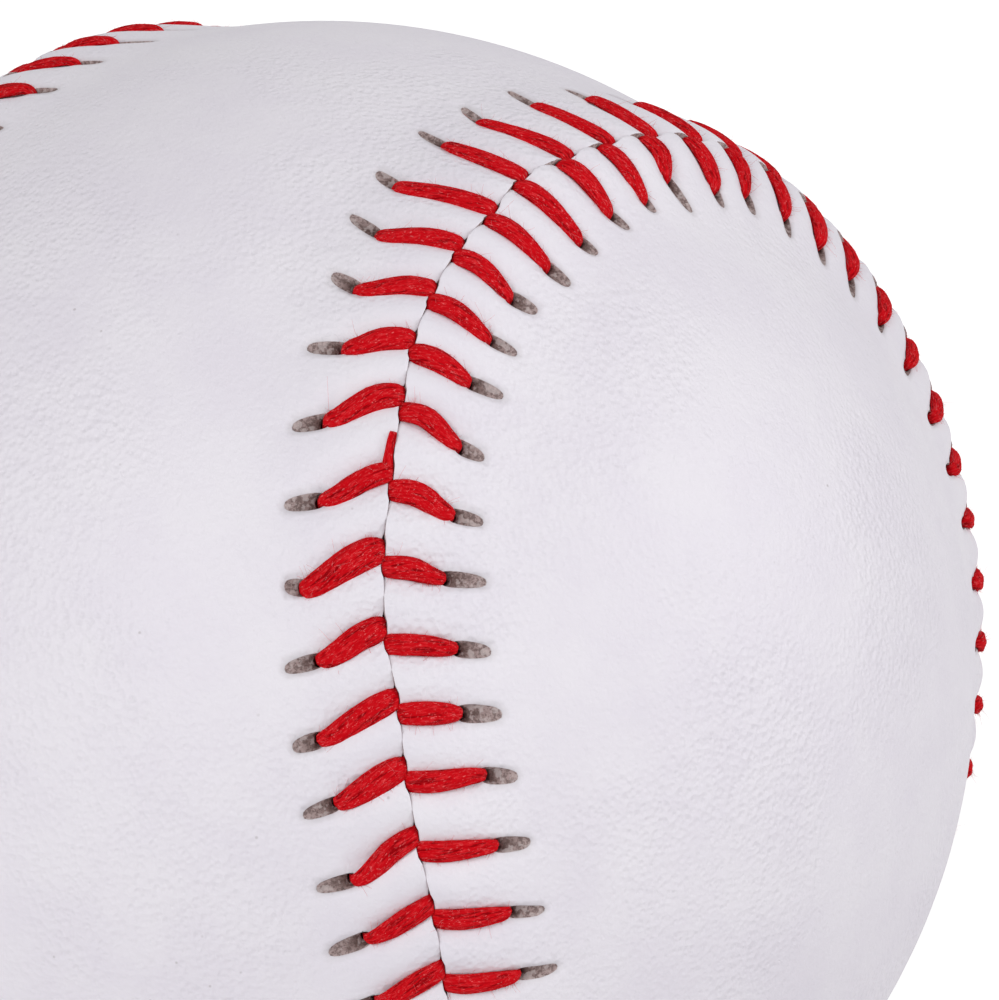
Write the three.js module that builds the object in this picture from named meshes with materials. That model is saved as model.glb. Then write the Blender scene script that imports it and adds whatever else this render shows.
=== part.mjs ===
// A regulation baseball, built from the core outwards: a cork ball in rubber, four windings of
// yarn, two figure-eight leather panels, and the two red threads that sew them together.
//
// Lengths are in millimetres and angles in radians. The origin is the ball's centre.
// +Z comes out through the waist of the upper panel, whose long way runs along Y.
// The lower panel has its waist at -Z and its long way along X.

import * as THREE from 'three';

// The pill and the windings
const corkDiameter = 20.6;
const blackRubberThickness = 3.6;
const gasketThickness = 0.8;
const redRubberThickness = 2.5;
const firstWoolThickness = 13.7;
const secondWoolThickness = 1.5;
const thirdWoolThickness = 1.6;
const finishingThickness = 0.35;
const layerClearance = 0.25;
const poleOpeningDiameter = 1.6;

// The leather cover
const leatherThickness = 1.25;
const seamRise = 1.1;
const footMargin = 2.5;

// The seam's shape, as angles of latitude and longitude on the ball
const latitudeSwing = 1.151;
const latitudeTrim = 0.042;
const longitudeSwing = 0.331;

// The stitches: 108 double ones, each with a left and a right arm
const stitchCount = 108;
const stitchReach = 3.9;
const slotInnerReach = 0.7;
const slotOuterReach = 1.6;
const slotSideRoom = 0.17;
const lobeLagShare = 0.17;
const straightLagShare = 0.46;
const diveLeadShare = 0.15;
const crownShare = 0.54;

// The thread, widest and thickest halfway up an arm and pulled thin where it turns
const threadWidth = 1.25;
const threadThickness = 0.6;
const pulledWidth = 0.66;
const pulledThickness = 0.4;
const threadClearance = 0.13;

// How finely the round pieces are faceted
const layerSegments = 16;
const layerRows = 8;
const coverColumns = 54;
const coverRows = 3;
const seamSamples = 4000;

// The seam as a curve on a ball of radius one. It runs anticlockwise round the upper panel,
// so that panel lies to its left and the lower panel to its right.
class SeamCurve extends THREE.Curve {
  getPoint(share, target = new THREE.Vector3()) {
    const turn = share * 4 * Math.PI;
    const latitude = latitudeSwing * Math.cos(turn) - latitudeTrim * Math.cos(3 * turn);
    const longitude = turn / 2 + longitudeSwing * Math.sin(2 * turn);
    const fromAxis = Math.cos(latitude);
    return target.set(
      fromAxis * Math.cos(longitude),
      fromAxis * Math.sin(longitude),
      Math.sin(latitude),
    );
  }
}
const seam = new SeamCurve();
seam.arcLengthDivisions = seamSamples;
const seamAngle = seam.getLength();
const [LEFT, RIGHT] = [-1, 1];

// Radii, each one seated on the layer inside it
const corkRadius = corkDiameter / 2;
const blackInnerRadius = corkRadius + layerClearance;
const blackOuterRadius = blackInnerRadius + blackRubberThickness;
const jacketInnerRadius = blackOuterRadius + layerClearance;
const pillRadius = jacketInnerRadius + redRubberThickness;
const firstInnerRadius = pillRadius + layerClearance;
const firstOuterRadius = firstInnerRadius + firstWoolThickness;
const secondInnerRadius = firstOuterRadius + layerClearance;
const secondOuterRadius = secondInnerRadius + secondWoolThickness;
const thirdInnerRadius = secondOuterRadius + layerClearance;
const thirdOuterRadius = thirdInnerRadius + thirdWoolThickness;
const finishingInnerRadius = thirdOuterRadius + layerClearance;
const finishingRadius = finishingInnerRadius + finishingThickness;

// The leather's flat facets dip below their corners, so its corners stand off by that much more.
const facetAngle = (seamAngle / coverColumns) * Math.SQRT1_2;
const coverInnerRadius = (finishingRadius + layerClearance) / Math.cos(facetAngle);
const coverRadius = coverInnerRadius + leatherThickness;
const pitch = (seamAngle * coverRadius) / stitchCount;

// Distances from the seam's middle line, along the leather
const seamHalfGap = pulledThickness / 2 + threadClearance;
const slotInnerEnd = stitchReach - slotInnerReach;
const slotOuterEnd = stitchReach + slotOuterReach;
const bandFoot = slotOuterEnd + footMargin;
const slotHalfWidth = pulledWidth / 2 + slotSideRoom;

// A direction from the ball's centre with its two level directions: along the seam, and across
// it to the right. The position along the seam is counted in stitches.
function spotAt(stitch, offset) {
  const share = THREE.MathUtils.euclideanModulo(stitch / stitchCount, 1);
  const onSeam = seam.getPointAt(share);
  const along = seam.getTangentAt(share);
  const right = along.clone().cross(onSeam).normalize();
  const angle = offset / coverRadius;
  const up = onSeam.clone().multiplyScalar(Math.cos(angle));
  up.addScaledVector(right, Math.sin(angle));
  const across = right.multiplyScalar(Math.cos(angle));
  across.addScaledVector(onSeam, -Math.sin(angle));
  return { up, along, across };
}

// The direction a little way along and across from a spot
function shifted(spot, alongMm, acrossMm) {
  const moved = spot.up.clone().multiplyScalar(coverRadius);
  moved.addScaledVector(spot.along, alongMm).addScaledVector(spot.across, acrossMm);
  return moved.normalize();
}

// How far the leather is lifted over the threads at a distance from the seam
function riseAt(offset) {
  const share = Math.min(Math.abs(offset) / bandFoot, 1);
  return seamRise * Math.cos((share * Math.PI) / 2) ** 2;
}

// How far a hole lags behind its stitch: little round a lobe, and most on the straights between
function holeLagAt(k) {
  const straightShare = Math.sin((4 * Math.PI * k) / stitchCount) ** 2;
  return THREE.MathUtils.lerp(lobeLagShare, straightLagShare, straightShare);
}

// Where an arm lies: it leans from its hole, which lags behind, up to its dive into the seam.
function armLine(side, k) {
  const diveStitch = side === LEFT ? diveLeadShare : -diveLeadShare;
  const stitchPerMm = (diveStitch + holeLagAt(k)) / slotOuterEnd;
  const lean = Math.atan(stitchPerMm * pitch);
  return {
    diveStitch,
    stitchAt: (distance) => diveStitch - stitchPerMm * distance,
    outward: [-Math.sin(lean), side * Math.cos(lean)],
    sideways: [Math.cos(lean), side * Math.sin(lean)],
  };
}

// Collects corners and triangles and leaves out triangles that have shrunk to a line.
class Facets {
  corners = [];
  indices = [];

  corner(point) {
    this.corners.push(point.x, point.y, point.z);
    return this.corners.length / 3 - 1;
  }

  triangle(a, b, c) {
    if (a !== b && b !== c && c !== a) this.indices.push(a, b, c);
  }

  quad(a, b, c, d) {
    this.triangle(a, b, c);
    this.triangle(a, c, d);
  }

  geometry() {
    const made = new THREE.BufferGeometry();
    made.setAttribute('position', new THREE.Float32BufferAttribute(this.corners, 3));
    made.setIndex(this.indices);
    made.computeVertexNormals();
    return made;
  }
}

// One leather panel: a thin sheet with an outer and an inner face, open at its slots.
class LeatherSheet {
  facets = new Facets();

  constructor(side) {
    this.side = side;
  }

  // A place on the sheet, as a corner of the outer face and one of the inner face
  place(stitch, direction, rise) {
    const outer = direction.clone().multiplyScalar(coverRadius + rise);
    const inner = direction.clone().multiplyScalar(coverInnerRadius + rise);
    return { stitch, outer: this.facets.corner(outer), inner: this.facets.corner(inner) };
  }

  triangle(a, b, c) {
    const [p, q] = this.side === LEFT ? [b, c] : [c, b];
    this.facets.triangle(a.outer, p.outer, q.outer);
    this.facets.triangle(a.inner, q.inner, p.inner);
  }

  quad(a, b, c, d) {
    this.triangle(a, b, c);
    this.triangle(a, c, d);
  }

  // The cut edge between two neighbouring places
  edge(a, b) {
    const [p, q] = this.side === LEFT ? [a, b] : [b, a];
    this.facets.quad(q.outer, p.outer, p.inner, q.inner);
  }

  // A closed band between two rows of places that may differ in number
  band(near, far) {
    const at = (row, i) => row[i % row.length].stitch + Math.floor(i / row.length) * stitchCount;
    let [i, j] = [0, 0];
    while (i < near.length || j < far.length) {
      const nearStep = Math.abs(at(near, i + 1) - at(far, j));
      const farStep = Math.abs(at(far, j + 1) - at(near, i));
      const [a, b] = [near[i % near.length], far[j % far.length]];
      if (j >= far.length || (i < near.length && nearStep < farStep)) {
        i += 1;
        this.triangle(a, near[i % near.length], b);
      } else {
        j += 1;
        this.triangle(a, far[j % far.length], b);
      }
    }
  }
}

// The middle of a panel, which its columns of facets run to: a stretch of the great circle
// down the panel's length. Past the middle of a lobe, every column runs to that middle.
function panelSpine(side) {
  const lengthwise = side === LEFT ? new THREE.Vector3(0, 1, 0) : new THREE.Vector3(1, 0, 0);
  const waist = new THREE.Vector3(0, 0, -side);
  const angleOf = (direction) => Math.atan2(direction.dot(lengthwise), direction.dot(waist));
  const tip = angleOf(seam.getPoint(side === LEFT ? 1 / 4 : 0));
  const lobeHalfWidth = Math.PI / 4;
  const lobeMiddle = tip - lobeHalfWidth;
  return {
    angleOf: (direction) => THREE.MathUtils.clamp(angleOf(direction), -lobeMiddle, lobeMiddle),
    isLobeMiddle: (angle) => Math.abs(angle) === lobeMiddle,
    directionAt: (angle) =>
      waist.clone().multiplyScalar(Math.cos(angle)).addScaledVector(lengthwise, Math.sin(angle)),
    twinOf: (column) =>
      THREE.MathUtils.euclideanModulo(
        (side === LEFT ? coverColumns / 2 : coverColumns) - 1 - column,
        coverColumns,
      ),
  };
}

function leatherPanel(side) {
  const sheet = new LeatherSheet(side);
  const stitchOn = (k, distance) => k + armLine(side, k).stitchAt(distance);
  const spotOn = (k, distance) => spotAt(stitchOn(k, distance), side * distance);
  const slotEnd = (k, distance) =>
    sheet.place(stitchOn(k, distance), spotOn(k, distance).up, riseAt(distance));
  const slotSide = (k, way) => {
    const [alongShare, acrossShare] = armLine(side, k).sideways;
    const reach = way * slotHalfWidth;
    const direction = shifted(spotOn(k, stitchReach), alongShare * reach, acrossShare * reach);
    return sheet.place(stitchOn(k, stitchReach), direction, riseAt(stitchReach));
  };

  // Rows from the seam outwards: the cut edge, and then the slots that the thread comes up in
  const edgeRow = [];
  const slots = [];
  for (let k = 0; k < stitchCount; k += 1) {
    edgeRow.push(sheet.place(k, spotAt(k, side * seamHalfGap).up, riseAt(seamHalfGap)));
    slots.push({
      innerEnd: slotEnd(k, slotInnerEnd),
      before: slotSide(k, -1),
      after: slotSide(k, 1),
      outerEnd: slotEnd(k, slotOuterEnd),
    });
  }
  edgeRow.forEach((place, k) => sheet.edge(place, edgeRow[(k + 1) % stitchCount]));
  const innerEnds = slots.map((slot) => slot.innerEnd);
  const outerEnds = slots.map((slot) => slot.outerEnd);
  sheet.band(edgeRow, innerEnds);
  slots.forEach((slot, k) => {
    const next = slots[(k + 1) % stitchCount];
    sheet.quad(slot.innerEnd, next.innerEnd, next.before, slot.after);
    sheet.quad(slot.after, next.before, next.outerEnd, slot.outerEnd);
    sheet.edge(slot.innerEnd, slot.before);
    sheet.edge(slot.before, slot.outerEnd);
    sheet.edge(slot.outerEnd, slot.after);
    sheet.edge(slot.after, slot.innerEnd);
  });

  // Columns from the foot of the raised band to the panel's spine. A column across a waist ends
  // where its twin from the other side does, and all those round a lobe end at its middle.
  const spine = panelSpine(side);
  const columns = [];
  const lobeMiddles = new Map();
  for (let column = 0; column < coverColumns; column += 1) {
    const stitch = ((column + 1 / 2) * stitchCount) / coverColumns;
    const angle = spine.angleOf(spotAt(stitch, 0).up);
    const target = spine.directionAt(angle);
    const isLobeMiddle = spine.isLobeMiddle(angle);
    const shared = isLobeMiddle ? lobeMiddles.get(angle) : columns[spine.twinOf(column)]?.end;
    const end = shared ?? sheet.place(stitch, target, 0);
    if (isLobeMiddle) lobeMiddles.set(angle, end);
    columns.push({ stitch, target, end, foot: spotAt(stitch, side * bandFoot).up });
  }
  const rowAt = (step) =>
    columns.map(({ stitch, foot, target }) =>
      sheet.place(stitch, foot.clone().lerp(target, step / coverRows).normalize(), 0),
    );
  const rows = [];
  for (let step = 0; step < coverRows; step += 1) rows.push(rowAt(step));
  rows.push(columns.map((column) => column.end));
  sheet.band(outerEnds, rows[0]);
  rows.slice(1).forEach((farRow, step) => {
    const nearRow = rows[step];
    nearRow.forEach((place, column) => {
      const next = (column + 1) % coverColumns;
      sheet.quad(place, nearRow[next], farRow[next], farRow[column]);
    });
  });
  return sheet.facets.geometry();
}

// A thread has five rings of four corners for each arm. It comes up through a slot, lies over
// the leather, dives into the seam, and runs on under the other panel to that panel's next slot.
const runLength = Math.hypot((1 + diveLeadShare) * pitch, stitchReach);
const runDip = finishingRadius * (1 - Math.cos(runLength / (2 * finishingRadius)));
const underRadius = finishingRadius + runDip + threadClearance + pulledThickness / 2;
const overRadius = (offset, thickness) =>
  coverRadius + riseAt(offset) + threadClearance + thickness / 2;

// One ring: its centre's spot and radius, its thick way as a level shift and a lift, and its
// wide way as a level shift. The corners go round the direction in which the thread is sewn.
function threadRing(spot, radius, thickShift, thickLift, wideShift) {
  const corner = (shift, lift, way) =>
    shifted(spot, way * shift[0], way * shift[1]).multiplyScalar(radius + way * lift);
  return [
    corner(thickShift, thickLift, 1),
    corner(wideShift, 0, 1),
    corner(thickShift, thickLift, -1),
    corner(wideShift, 0, -1),
  ];
}

function armRings(k, side) {
  const arm = armLine(side, k);
  const scaled = (direction, length) => direction.map((part) => part * length);
  const [halfWidth, halfThick] = [threadWidth / 2, threadThickness / 2];
  const [pulledHalfWidth, pulledHalf] = [pulledWidth / 2, pulledThickness / 2];
  const crown = crownShare * stitchReach;
  const hole = spotAt(k + arm.stitchAt(stitchReach), side * stitchReach);
  const middle = spotAt(k + arm.stitchAt(crown), side * crown);
  const dive = spotAt(k + arm.diveStitch, 0);
  const holeThick = scaled(arm.outward, side * pulledHalf);
  const holeWide = scaled(arm.sideways, pulledHalfWidth);
  const diveThick = [0, -pulledHalf];
  const diveWide = [pulledHalfWidth, 0];
  const crownWide = scaled(arm.sideways, halfWidth);
  const holeTop = overRadius(stitchReach, pulledThickness);
  const crownTop = overRadius(crown, threadThickness);
  const diveTop = overRadius(0, pulledThickness);
  return [
    threadRing(hole, underRadius, holeThick, -side * pulledHalf, holeWide),
    threadRing(hole, holeTop, holeThick, side * pulledHalf, holeWide),
    threadRing(middle, crownTop, [0, 0], side * halfThick, crownWide),
    threadRing(dive, diveTop, diveThick, side * pulledHalf, diveWide),
    threadRing(dive, underRadius, diveThick, side * pulledHalf, diveWide),
  ];
}

// A thread's arms from its first hole to its last dive. They lie left and right in turn.
function threadArms(firstSide) {
  const arms = [];
  for (let k = 0; k < stitchCount; k += 1) {
    arms.push(armRings(k, k % 2 === 0 ? firstSide : -firstSide));
  }
  return arms;
}

function threadGeometry(arms) {
  const facets = new Facets();
  const rings = arms.flat();
  const placed = rings.map((ring) => ring.map((point) => facets.corner(point)));
  const sides = placed[0].length;
  placed.slice(1).forEach((ring, i) => {
    const before = placed[i];
    for (let q = 0; q < sides; q += 1) {
      const next = (q + 1) % sides;
      facets.quad(before[q], before[next], ring[next], ring[q]);
    }
  });
  const [first, last] = [placed[0], placed[placed.length - 1]];
  facets.quad(first[3], first[2], first[1], first[0]);
  facets.quad(last[0], last[1], last[2], last[3]);
  return facets.geometry();
}

// The core and the windings are turned about the Z axis.
function turned(profile) {
  const geometry = new THREE.LatheGeometry(profile, layerSegments);
  geometry.rotateX(Math.PI / 2);
  return geometry;
}

// Points of a half circle's arc, from one latitude up or down to another
function arc(radius, fromLatitude, toLatitude) {
  const rowAngle = Math.PI / layerRows;
  const steps = Math.max(Math.ceil(Math.abs(toLatitude - fromLatitude) / rowAngle), 1);
  const way = Math.sign(toLatitude - fromLatitude);
  const latitudes = [fromLatitude];
  for (let step = 1; step < steps; step += 1) latitudes.push(fromLatitude + way * step * rowAngle);
  latitudes.push(toLatitude);
  return latitudes.map(
    (latitude) => new THREE.Vector2(radius * Math.cos(latitude), radius * Math.sin(latitude)),
  );
}

const pole = Math.PI / 2;
const southPoint = (radius) => new THREE.Vector2(0, -radius);
const northPoint = (radius) => new THREE.Vector2(0, radius);
const openingAngle = Math.asin(poleOpeningDiameter / 2 / finishingRadius);

function solidBall(radius) {
  const side = arc(radius, -pole, pole).slice(1, -1);
  return turned([southPoint(radius), ...side, northPoint(radius)]);
}

// A hollow layer, with a small round opening at its north pole
function hollowLayer(innerRadius, outerRadius) {
  const outer = arc(outerRadius, -pole, pole - openingAngle).slice(1);
  const inner = arc(innerRadius, -pole, pole - openingAngle).slice(1).reverse();
  return turned([southPoint(outerRadius), ...outer, ...inner, southPoint(innerRadius)]);
}

// The lower half shell of black rubber, which stops short of the washer at the equator
function halfShell() {
  const rim = gasketThickness / 2 + layerClearance;
  const outer = arc(blackOuterRadius, -pole, -Math.asin(rim / blackOuterRadius)).slice(1);
  const inner = arc(blackInnerRadius, -pole, -Math.asin(rim / blackInnerRadius)).slice(1);
  inner.reverse();
  return turned([southPoint(blackOuterRadius), ...outer, ...inner, southPoint(blackInnerRadius)]);
}

function washer() {
  const half = gasketThickness / 2;
  const corners = [
    [blackInnerRadius, -half],
    [blackOuterRadius, -half],
    [blackOuterRadius, half],
    [blackInnerRadius, half],
    [blackInnerRadius, -half],
  ];
  return turned(corners.map(([x, y]) => new THREE.Vector2(x, y)));
}

const finishes = {
  cork: { color: 0xb08354, roughness: 0.95, metalness: 0 },
  blackRubber: { color: 0x1e1d1c, roughness: 0.7, metalness: 0 },
  redRubber: { color: 0x9c2f28, roughness: 0.65, metalness: 0 },
  greyWool: { color: 0x8d8c88, roughness: 1, metalness: 0 },
  whiteWool: { color: 0xe4dfd2, roughness: 1, metalness: 0 },
  cottonYarn: { color: 0xf1eee6, roughness: 0.95, metalness: 0 },
  leather: { color: 0xe2e0e6, roughness: 0.45, metalness: 0 },
  redThread: { color: 0xc41c28, roughness: 0.9, metalness: 0 },
};

function piece(name, geometry, finish) {
  const mesh = new THREE.Mesh(geometry, new THREE.MeshStandardMaterial(finishes[finish]));
  mesh.name = name;
  return mesh;
}

function group(...members) {
  const made = new THREE.Group();
  made.add(...members);
  return made;
}

const upperShell = piece('black_rubber_shell_upper', halfShell(), 'blackRubber');
upperShell.rotation.x = Math.PI;
const pill = group(
  piece('cork_core', solidBall(corkRadius), 'cork'),
  piece('black_rubber_shell_lower', halfShell(), 'blackRubber'),
  upperShell,
  piece('red_rubber_gasket', washer(), 'redRubber'),
  piece('red_rubber_jacket', hollowLayer(jacketInnerRadius, pillRadius), 'redRubber'),
);

const windings = group(
  piece('first_wool_winding', hollowLayer(firstInnerRadius, firstOuterRadius), 'greyWool'),
  piece('second_wool_winding', hollowLayer(secondInnerRadius, secondOuterRadius), 'whiteWool'),
  piece('third_wool_winding', hollowLayer(thirdInnerRadius, thirdOuterRadius), 'greyWool'),
  piece('finishing_winding', hollowLayer(finishingInnerRadius, finishingRadius), 'cottonYarn'),
);

const cover = group(
  piece('cover_panel_upper', leatherPanel(LEFT), 'leather'),
  piece('cover_panel_lower', leatherPanel(RIGHT), 'leather'),
);

const firstThread = threadArms(LEFT);
const secondThread = threadArms(RIGHT);
const stitching = group(
  piece('stitch_thread_first', threadGeometry(firstThread), 'redThread'),
  piece('stitch_thread_second', threadGeometry(secondThread), 'redThread'),
);

const ball = group(pill, windings, cover, stitching);

// A stretch of thread is one arm and the run to the next. It is measured on points along the
// corners of its rings, no further apart than the clearance round a thread.
function stretchesOf(arms) {
  return arms.map((arm, k) => {
    const rings = k + 1 < arms.length ? [...arm, arms[k + 1][0]] : arm;
    const points = [];
    rings.slice(1).forEach((ring, i) => {
      ring.forEach((corner, q) => {
        const before = rings[i][q];
        const steps = Math.ceil(before.distanceTo(corner) / threadClearance);
        for (let step = 0; step <= steps; step += 1) {
          points.push(before.clone().lerp(corner, step / steps));
        }
      });
    });
    return { points, bounds: new THREE.Sphere().setFromPoints(points) };
  });
}

// The least gap between the stretches of two threads, or of one thread with itself, where a
// stretch isn't measured against the two that it runs on into
function leastGap(stretches, otherStretches) {
  let least = Infinity;
  stretches.forEach((a, k) => {
    otherStretches.forEach((b, other) => {
      const apart = a.bounds.center.distanceTo(b.bounds.center) - a.bounds.radius - b.bounds.radius;
      const joined = stretches === otherStretches && Math.abs(other - k) <= 1;
      if (joined || apart >= least) return;
      a.points.forEach((p) => b.points.forEach((q) => (least = Math.min(least, p.distanceTo(q)))));
    });
  });
  return least.toFixed(2);
}
const firstStretches = stretchesOf(firstThread);
const secondStretches = stretchesOf(secondThread);
console.log('least gap of the first thread to itself, mm:', leastGap(firstStretches, firstStretches));
console.log('least gap of the second thread to itself, mm:', leastGap(secondStretches, secondStretches));
console.log('least gap between the two threads, mm:', leastGap(firstStretches, secondStretches));

export default ball;
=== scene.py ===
# %% [markdown]
# # A leather ball with a sewn seam
#
# The ball in the photograph is the white one of baseball. Two leather panels, each cut like a
# figure eight, lie edge to edge round it, and red waxed thread draws them together with 108
# double stitches. This lesson dresses the measured model of that ball, which stays as it is. Its
# box is taken first, and the floor is laid at its lowest point.

# %% Load the measured ball
import math

import bmesh
import bpy
import numpy as np
from mathutils import Matrix, Vector


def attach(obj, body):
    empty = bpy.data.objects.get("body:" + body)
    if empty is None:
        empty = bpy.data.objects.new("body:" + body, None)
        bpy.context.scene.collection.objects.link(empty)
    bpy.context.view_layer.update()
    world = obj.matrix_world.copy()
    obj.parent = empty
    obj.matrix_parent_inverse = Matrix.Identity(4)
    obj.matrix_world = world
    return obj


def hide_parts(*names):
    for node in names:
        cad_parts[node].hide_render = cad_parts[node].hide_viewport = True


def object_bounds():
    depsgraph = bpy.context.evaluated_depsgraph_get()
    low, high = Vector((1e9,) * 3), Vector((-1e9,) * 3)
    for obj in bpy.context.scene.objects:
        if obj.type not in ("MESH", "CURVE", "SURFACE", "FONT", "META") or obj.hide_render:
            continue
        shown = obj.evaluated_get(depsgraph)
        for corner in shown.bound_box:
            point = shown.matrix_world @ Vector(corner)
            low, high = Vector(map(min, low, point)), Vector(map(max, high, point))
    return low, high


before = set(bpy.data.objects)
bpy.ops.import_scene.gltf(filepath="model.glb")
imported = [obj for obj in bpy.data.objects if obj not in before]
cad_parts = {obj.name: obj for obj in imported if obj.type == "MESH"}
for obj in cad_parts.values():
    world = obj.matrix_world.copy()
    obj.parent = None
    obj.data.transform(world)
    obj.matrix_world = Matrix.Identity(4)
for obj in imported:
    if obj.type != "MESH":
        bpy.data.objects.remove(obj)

box_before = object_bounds()
print("nodes in the packed ball:", len(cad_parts))

# %% [markdown]
# ## The sizes that the pieces share
#
# A piece that lies on another one has to agree with it to a tenth of a millimetre. So every size
# has one name here. Blender works in metres, and `mm` keeps the numbers readable.

# %% Sizes of the cover, the seam and the stitches
mm = 0.001
LEFT, RIGHT = -1, 1

stitch_count = 108
leather_radius = 36.9 * mm
leather_thickness = 1.25 * mm
yarn_radius = 35.05 * mm
seam_rise = 1.1 * mm
band_foot = 8.0 * mm
shaft = 3.65 * mm
slot_tip = 5.5 * mm
slot_near = 3.35 * mm
dive_lead = 0.12
leather_inside = leather_radius - leather_thickness
print("ball across the leather, mm:", round(2 * leather_radius / mm, 2))

# %% [markdown]
# ## The camera
#
# The camera comes first, because it decides how much detail a piece needs. It was placed by
# laying the seam over the photograph until the two met within a few pixels. A long lens from
# 32 cm away gives the same perspective.

# %% Camera
def add_object(name, data):
    """A new object in the scene, at the origin."""
    made = bpy.data.objects.new(name, data)
    bpy.context.scene.collection.objects.link(made)
    return made


def add_camera():
    data = bpy.data.cameras.new("camera")
    data.lens = 204.6
    data.sensor_width = 36.0
    data.sensor_fit = "HORIZONTAL"
    data.clip_start = 0.005
    camera = add_object("camera", data)
    forward = Vector((-0.5411, 0.7651, -0.3490)).normalized()
    up = Vector((-0.1878, 0.2946, 0.9370))
    right = forward.cross(up).normalized()
    up = right.cross(forward)
    turn = Matrix((right, up, -forward)).transposed().to_4x4()
    place = Vector((4.9124, -6.4730, 3.3011)) * leather_radius
    camera.matrix_world = Matrix.Translation(place) @ turn
    bpy.context.scene.camera = camera
    return camera


camera = add_camera()
bpy.context.scene.view_settings.view_transform = "Standard"
print("camera is", round(camera.location.length / mm), "mm from the ball's centre")

# %% [markdown]
# ## Nodes that read like sums
#
# A procedural finish is a small sum: some noise, times a mask, plus a colour. The class below
# wraps a socket, so that `1 - mask * 0.5` adds its Math nodes by itself.

# %% A socket that can be used in a sum
class Socket:
    """The output of a node, which works in sums as a number does."""

    def __init__(self, nodes, socket):
        self.nodes = nodes
        self.socket = socket

    def _maths(self, operation, *values):
        return self.nodes.node("ShaderNodeMath", {"operation": operation}, dict(enumerate(values)))

    def __add__(self, other):
        return self._maths("ADD", self, other)

    def __radd__(self, other):
        return self._maths("ADD", other, self)

    def __sub__(self, other):
        return self._maths("SUBTRACT", self, other)

    def __rsub__(self, other):
        return self._maths("SUBTRACT", other, self)

    def __mul__(self, other):
        return self._maths("MULTIPLY", self, other)

    def __rmul__(self, other):
        return self._maths("MULTIPLY", other, self)

    def rises(self, low, high):
        """0 below low, 1 above high, and a smooth step between them."""
        return self.nodes.node(
            "ShaderNodeMapRange",
            {"interpolation_type": "SMOOTHSTEP"},
            {"Value": self, "From Min": low, "From Max": high},
        )


# %% A tree of nodes
class Nodes:
    """The nodes of a material or of the world."""

    def __init__(self, tree):
        self.tree = tree
        tree.nodes.clear()

    def join(self, socket, value):
        if isinstance(value, Socket):
            self.tree.links.new(value.socket, socket)
        else:
            socket.default_value = value

    def node(self, kind, settings=None, sockets=None, output=0):
        """Adds a node. Settings come first, because they decide which sockets there are."""
        made = self.tree.nodes.new(kind)
        for name, value in (settings or {}).items():
            setattr(made, name, value)
        for name, value in (sockets or {}).items():
            self.join(made.inputs[name], value)
        return Socket(self, made.outputs[output])

    def show(self, kind, shader):
        """Ends the tree: a shader goes to the output node."""
        self.join(self.tree.nodes.new(kind).inputs["Surface"], shader)


# %% A finish: one material and its nodes
class Finish(Nodes):
    """A material with one Principled shader, and the nodes that feed it."""

    def __init__(self, name, **constants):
        self.material = bpy.data.materials.new(name)
        self.material.use_nodes = True
        super().__init__(self.material.node_tree)
        self.shader = self.tree.nodes.new("ShaderNodeBsdfPrincipled")
        self.show("ShaderNodeOutputMaterial", Socket(self, self.shader.outputs[0]))
        for socket, value in constants.items():
            self.set(socket.replace("_", " "), value)

    def set(self, name, value):
        self.join(self.shader.inputs[name], value)

    def place(self):
        """The point's own place on the ball, in metres."""
        return self.node("ShaderNodeTexCoord", output="Object")

    def grime_and_shade(self):
        """How much grime and painted shade a corner of the leather has, from 0 to 1."""
        return self.node("ShaderNodeAttribute", {"attribute_name": "grime_and_shade"}, output="Fac")

    def strand(self, share):
        """A thread's own measures, in mm. The share shrinks the one along it, so that a noise
        there runs lengthwise."""
        own = self.node("ShaderNodeAttribute", {"attribute_name": "strand"}, output="Vector")
        return self.node(
            "ShaderNodeVectorMath", {"operation": "MULTIPLY"}, {0: own, 1: (1.0, 1.0, share)}
        )

    def noise(self, point, scale, **others):
        sockets = {name.title(): value for name, value in others.items()}
        return self.node("ShaderNodeTexNoise", {}, {"Vector": point, "Scale": scale, **sockets})

    def cells(self, point, scale, output="Distance", **settings):
        """A pattern of cells with one random point each."""
        sockets = {"Vector": point, "Scale": scale}
        return self.node("ShaderNodeTexVoronoi", settings, sockets, output)

    def mix(self, share, first, second):
        """A blend of two colours."""
        sockets = {0: share, 6: first, 7: second}
        return self.node("ShaderNodeMix", {"data_type": "RGBA"}, sockets, output=2)

    def bump(self, height, distance):
        """Tilts the surface as if it were raised by height times distance."""
        self.set("Normal", self.node("ShaderNodeBump", {}, {"Height": height, "Distance": distance}))


def srgb(red, green, blue):
    """A colour as a picture's 0 to 255 numbers, turned into the linear ones that a shader takes."""
    linear = [
        part / 12.92 if part <= 0.04045 else ((part + 0.055) / 1.055) ** 2.4
        for part in (red / 255, green / 255, blue / 255)
    ]
    return (*linear, 1.0)


print("middle grey as a shader's number:", round(srgb(128, 128, 128)[0], 3))

# %% [markdown]
# ## Floor, white surroundings and lamps
#
# The picture is a cut-out on white, lit so softly that the ball has no hard shadow. A pale sky
# does most of that. The tones of the leather fit two broad lamps, one to the left of the camera
# and one well round to the right. The floor and the sky look white to the camera without being
# brighter for the ball.

# %% White surroundings
def surround_with_white(strength):
    world = bpy.data.worlds.new("white_room")
    bpy.context.scene.world = world
    world.use_nodes = True
    room = Nodes(world.node_tree)
    direct, glossy, through = (
        room.node("ShaderNodeLightPath", output=f"Is {kind} Ray")
        for kind in ("Camera", "Glossy", "Transmission")
    )
    level = room.node("ShaderNodeMix", {}, {0: direct + glossy + through, 2: strength, 3: 1.0})
    sky = room.node("ShaderNodeBackground", {}, {"Color": white, "Strength": level})
    room.show("ShaderNodeOutputWorld", sky)


white = (1.0, 1.0, 1.0, 1.0)
surround_with_white(strength=0.44)


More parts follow.
